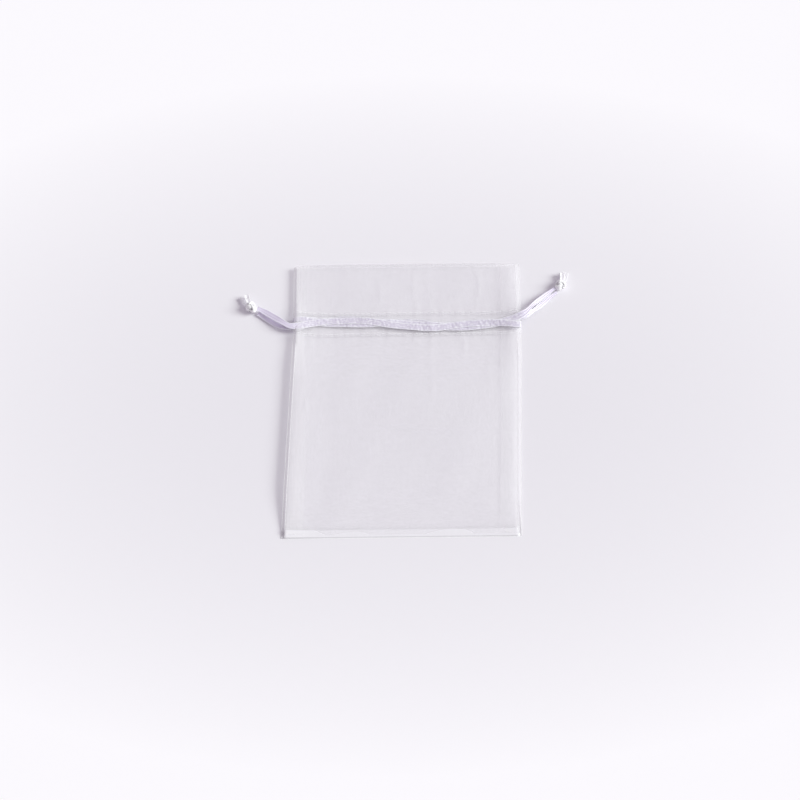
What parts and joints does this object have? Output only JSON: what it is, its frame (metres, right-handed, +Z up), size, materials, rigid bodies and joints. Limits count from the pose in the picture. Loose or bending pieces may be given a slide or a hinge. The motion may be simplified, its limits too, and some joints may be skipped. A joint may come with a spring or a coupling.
{
  "type": "drawstring gift pouch",
  "caption": "Flat sheer organza gift pouch with a folded header and a stitched channel, closed by two satin ribbon drawstrings knotted at opposite sides.",
  "frame": {"origin": "on the table that the pouch lies on, under the middle of the bag", "axes": "+X to the right across the bag, +Y from the sewn bottom to the mouth, +Z up from the table through the back and front panels"},
  "size_m": [0.1322, 0.12, 0.0056],
  "materials": {
    "organza": "satin",
    "seam": "satin",
    "thread": "satin",
    "satin_ribbon": "satin"
  },
  "bodies": {
    "bag": {"back_panel": "organza", "front_panel": "organza", "back_channel": "organza", "back_channel_facing": "organza", "back_header": "organza", "back_header_facing": "organza", "front_channel": "organza", "front_channel_facing": "organza", "front_header": "organza", "front_header_facing": "organza", "back_lower_stitching": "thread", "front_lower_stitching": "thread", "back_upper_stitching": "thread", "front_upper_stitching": "thread", "left_side_seam": "seam", "right_side_seam": "seam", "bottom_seam": "seam", "left_seam_allowance": "organza", "right_seam_allowance": "organza", "bottom_seam_allowance": "organza"},
    "left_drawstring": {"left_ribbon": "satin_ribbon", "left_knot": "satin_ribbon", "left_upper_tip": "satin_ribbon", "left_lower_tip": "satin_ribbon"},
    "right_drawstring": {"right_ribbon": "satin_ribbon", "right_knot": "satin_ribbon", "right_upper_tip": "satin_ribbon", "right_lower_tip": "satin_ribbon"},
    "mouth_right": {"right_header_seam": "seam", "right_header_allowance": "organza"},
    "mouth_left": {"left_header_seam": "seam", "left_header_allowance": "organza"}
  },
  "joints": [
    {"name": "left_pull", "type": "slide", "parent": "bag", "child": "left_drawstring", "axis": [-1, 0, 0], "range_m": [0, 0.036], "deforming": ["back_channel", "back_channel_facing", "back_header", "back_header_facing", "front_channel", "front_channel_facing", "front_header", "front_header_facing", "back_lower_stitching", "front_lower_stitching", "back_upper_stitching", "front_upper_stitching"]},
    {"name": "right_pull", "type": "slide", "parent": "bag", "child": "right_drawstring", "axis": [1, 0, 0], "range_m": [0, 0.036], "deforming": ["back_channel", "back_channel_facing", "back_header", "back_header_facing", "front_channel", "front_channel_facing", "front_header", "front_header_facing", "back_lower_stitching", "front_lower_stitching", "back_upper_stitching", "front_upper_stitching"]},
    {"name": "right_mouth_gather", "type": "slide", "parent": "bag", "child": "mouth_right", "axis": [-1, 0, 0], "range_m": [0, 0.036]},
    {"name": "left_mouth_gather", "type": "slide", "parent": "bag", "child": "mouth_left", "axis": [1, 0, 0], "range_m": [0, 0.036]}
  ],
  "couplings": [
    {"joint": "right_mouth_gather", "follows": "left_pull", "ratio": 1},
    {"joint": "left_mouth_gather", "follows": "right_pull", "ratio": 1}
  ]
}
